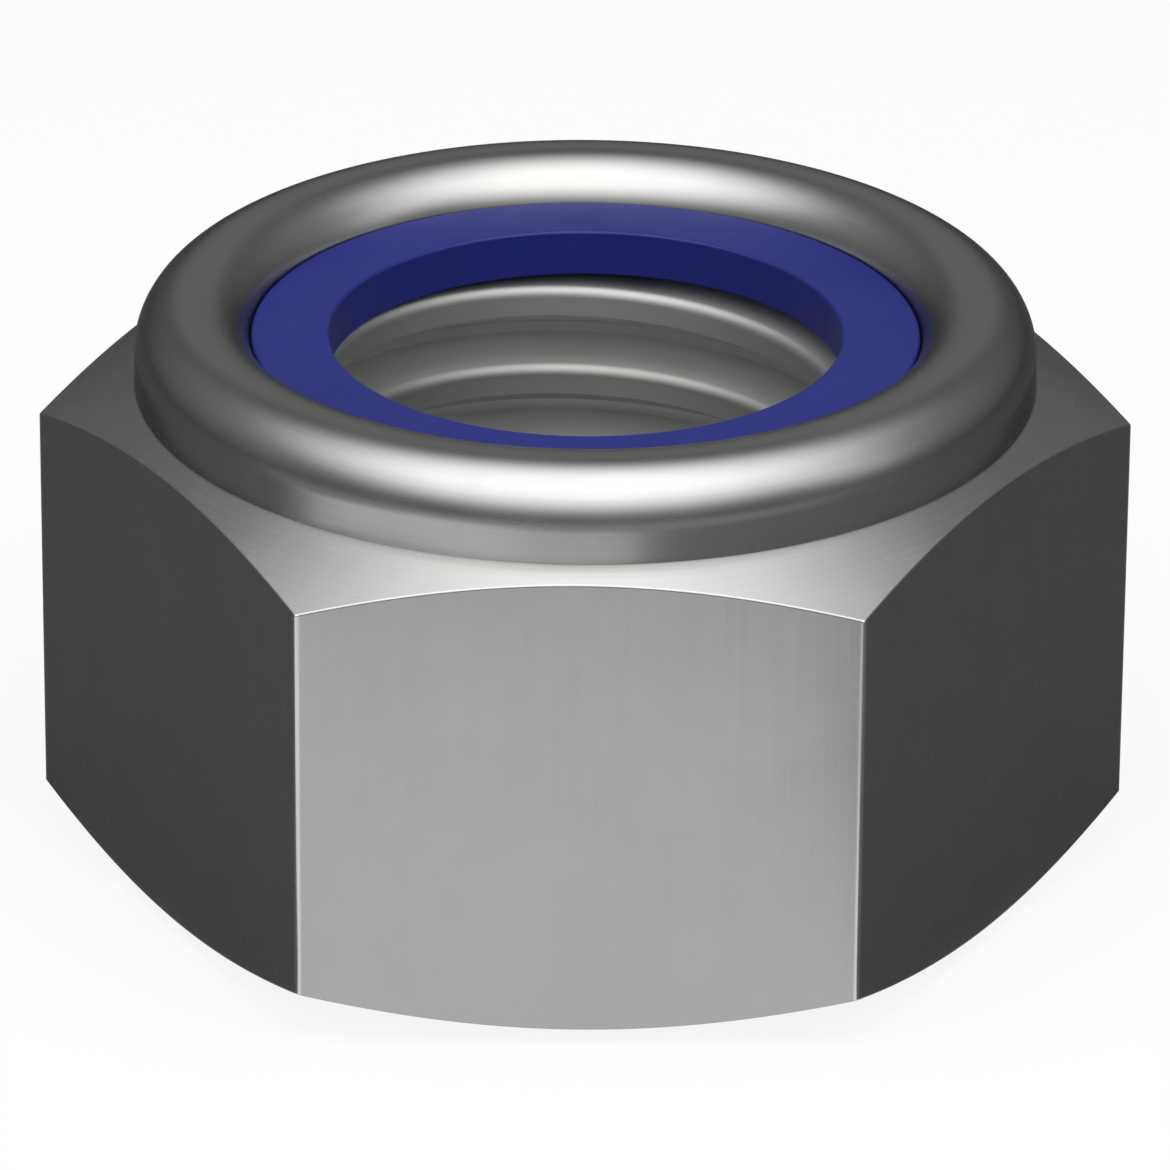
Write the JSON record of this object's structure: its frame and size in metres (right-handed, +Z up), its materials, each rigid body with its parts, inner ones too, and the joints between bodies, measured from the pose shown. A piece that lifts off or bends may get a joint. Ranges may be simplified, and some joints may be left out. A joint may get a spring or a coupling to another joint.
{
  "type": "nylon insert lock nut",
  "caption": "Hexagon lock nut with a round collar rolled over a blue nylon ring that grips the screw so that it can't work loose.",
  "frame": {"origin": "centre of the bearing face, on the thread's axis, which is the middle of the bottom of the box", "axes": "+Z up the thread's axis, from the bearing face to the rolled rim; one flat of the hexagon faces -Y and two corners lie on the X axis"},
  "size_m": [0.022, 0.019, 0.012],
  "materials": {
    "zinc_plated_steel": "satin zinc plate",
    "blue_nylon": "smooth moulded"
  },
  "bodies": {
    "root": {"nut_body": "zinc_plated_steel", "nylon_insert": "blue_nylon"}
  },
  "joints": []
}
